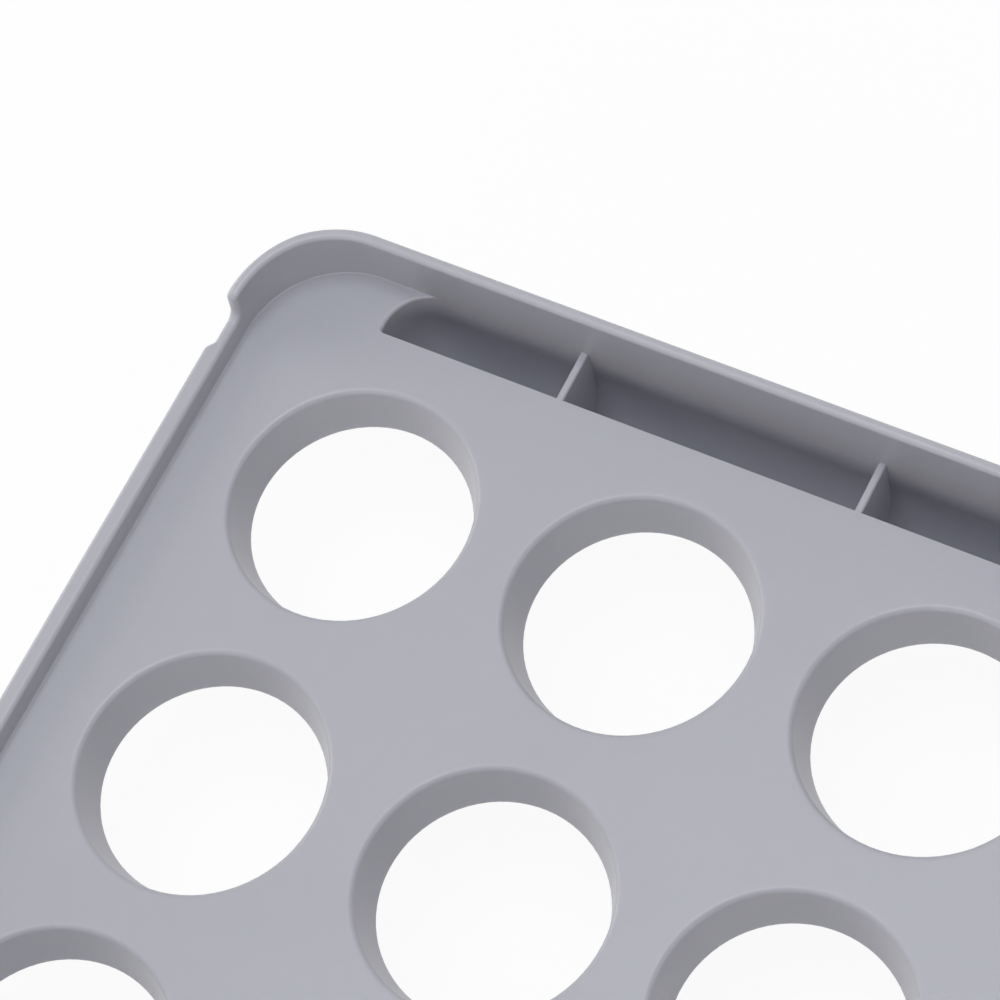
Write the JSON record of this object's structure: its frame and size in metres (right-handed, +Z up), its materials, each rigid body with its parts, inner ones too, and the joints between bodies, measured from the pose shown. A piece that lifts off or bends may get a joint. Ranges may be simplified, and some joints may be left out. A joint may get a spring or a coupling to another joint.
{
  "type": "egg storage drawer",
  "caption": "Shallow drawer with a grid of conical egg seats and a stepped rim that slides in a low stackable case with a clear top.",
  "frame": {"origin": "centre of the bottom of the box round the part with the drawer fully open", "axes": "+Y runs from the drawer's front to the case's back, +Z is up, +X is to the right seen from the front"},
  "size_m": [0.2314, 0.535, 0.0774],
  "materials": {
    "tray": "satin grey moulding with a fine grain",
    "case": "satin white moulding",
    "clear_top": "clear polished moulding",
    "runner": "slippery semi-matte moulding",
    "stop": "satin moulding",
    "foot": "matte soft rubber"
  },
  "bodies": {
    "case": {"case_base": "case", "top_cover": "clear_top", "back_panel": "case", "right_side": "case", "left_side": "case", "right_runner": "runner", "left_runner": "runner", "right_stop": "stop", "left_stop": "stop", "front_left_foot": "foot", "front_right_foot": "foot", "rear_left_foot": "foot", "rear_right_foot": "foot"},
    "drawer": {"drawer_tray": "tray"}
  },
  "joints": [
    {"name": "drawer_slide", "type": "slide", "parent": "case", "child": "drawer", "axis": [0, 1, 0], "range_m": [0, 0.205]}
  ]
}
